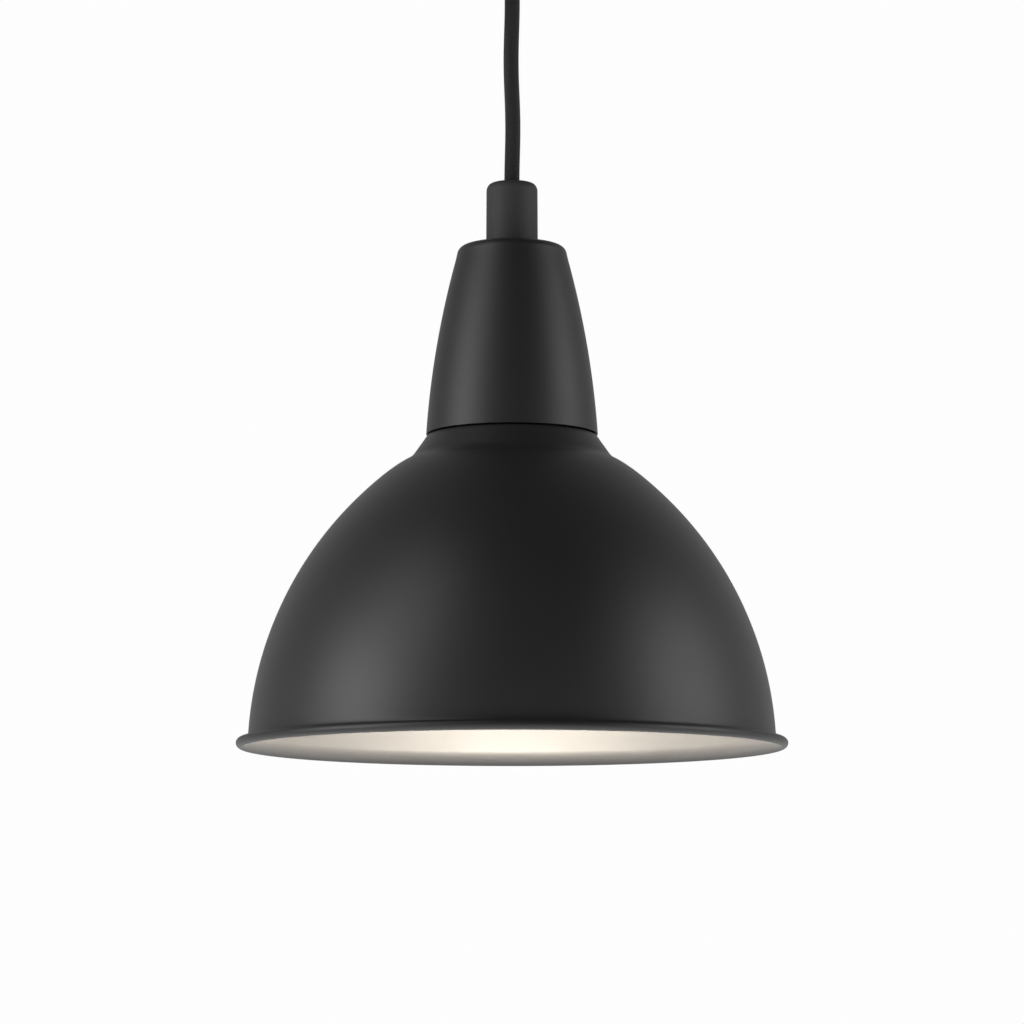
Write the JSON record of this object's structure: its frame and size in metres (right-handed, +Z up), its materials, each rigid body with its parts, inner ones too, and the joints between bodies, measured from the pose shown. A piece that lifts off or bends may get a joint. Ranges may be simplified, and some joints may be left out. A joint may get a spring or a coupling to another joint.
{
  "type": "pendant ceiling light",
  "caption": "Small dome pendant light: spun metal shade with a rolled rim, tapered cap, cord grip and textile cord, hung from a round ceiling canopy, with a screw-in filament lamp.",
  "frame": {"origin": "centre of the face that lies against the ceiling, on the lamp's vertical axis", "axes": "+Z up through the ceiling along the lamp's axis, +X to the right across the two canopy side screws, the viewer looks along +Y"},
  "size_m": [0.2152, 0.2152, 0.339],
  "materials": {
    "shade_paint": "matte black powder coat outside, satin off-white lacquer inside the shade",
    "canopy_paint": "matte black powder coat",
    "black_plastic": "fine-textured matte black plastic",
    "textile": "tight black braid over a round flexible cord",
    "rubber": "soft black rubber",
    "zinc": "bright zinc plate on steel",
    "brass": "stamped brass",
    "nickel": "nickel-plated lamp base",
    "ceramic": "unglazed white steatite",
    "white_plastic": "natural white nylon",
    "blue_wire": "blue wire insulation",
    "brown_wire": "brown wire insulation",
    "black_glass": "black vitrite glass",
    "bulb_glass": "clear blown glass",
    "filament": "warm glowing phosphor sticks"
  },
  "bodies": {
    "ceiling": {"bracket": "zinc", "bracket_grommet": "rubber"},
    "canopy": {"canopy_cup": "canopy_paint", "cord_gland": "black_plastic", "gland_bush": "rubber", "gland_screw": "black_plastic", "gland_washer": "zinc", "gland_nut": "zinc", "canopy_screw_left": "canopy_paint", "canopy_screw_right": "canopy_paint", "canopy_nut_left": "zinc", "canopy_nut_right": "zinc", "terminal_block": "white_plastic", "block_screw_left": "zinc", "block_screw_right": "zinc", "lead_left": "blue_wire", "lead_right": "brown_wire", "cord_head": "textile"},
    "cord_flex": {"cord_bend": "textile"},
    "pendant": {"cord": "textile", "cord_tail": "textile", "cord_grip": "black_plastic", "grip_insert": "white_plastic", "grip_screw": "black_plastic", "threaded_tube": "zinc", "star_washer": "zinc", "lock_nut": "zinc", "cap": "shade_paint", "holder_dome": "black_plastic", "holder_skirt": "black_plastic", "holder_core": "ceramic", "screw_shell": "brass", "centre_contact": "brass", "side_contact": "brass", "holder_screw_front": "zinc", "holder_screw_back": "zinc", "holder_wire_front": "blue_wire", "holder_wire_back": "brown_wire"},
    "shade_carrier": {"shade": "shade_paint", "shade_washer": "rubber"},
    "retaining_ring": {"shade_ring": "black_plastic"},
    "lamp_tip": {"bulb_insulator": "black_glass", "bulb_contact": "nickel"},
    "lamp": {"bulb_base": "nickel", "bulb_envelope": "bulb_glass", "bulb_stem": "bulb_glass", "filament_1": "filament", "filament_2": "filament", "filament_3": "filament", "filament_4": "filament"}
  },
  "joints": [
    {"name": "canopy_drop", "type": "slide", "parent": "ceiling", "child": "canopy", "axis": [0, 0, -1], "range_m": [0, 0.026]},
    {"name": "swing_front", "type": "hinge", "parent": "canopy", "child": "cord_flex", "pos_m": [0, 0, -0.0325], "axis": [1, 0, 0], "range_deg": [-20, 20]},
    {"name": "swing_side", "type": "hinge", "parent": "cord_flex", "child": "pendant", "pos_m": [0, 0, -0.0325], "axis": [0, 1, 0], "range_deg": [-20, 20]},
    {"name": "shade_drop", "type": "slide", "parent": "pendant", "child": "shade_carrier", "axis": [0, 0, -1], "range_m": [0, 0.0061]},
    {"name": "ring_turn", "type": "hinge", "parent": "shade_carrier", "child": "retaining_ring", "pos_m": [0, 0, -0.2215], "axis": [0, 0, -1], "range_deg": [0, 540]},
    {"name": "lamp_drop", "type": "slide", "parent": "pendant", "child": "lamp_tip", "axis": [0, 0, -1], "range_m": [0, 0.0255]},
    {"name": "lamp_turn", "type": "hinge", "parent": "lamp_tip", "child": "lamp", "pos_m": [0, 0, -0.215], "axis": [0, 0, -1], "range_deg": [0, 2520]}
  ],
  "couplings": [
    {"joint": "shade_drop", "follows": "ring_turn", "m_per_rad": 0.00063662},
    {"joint": "lamp_drop", "follows": "lamp_turn", "m_per_rad": 0.00057757}
  ]
}
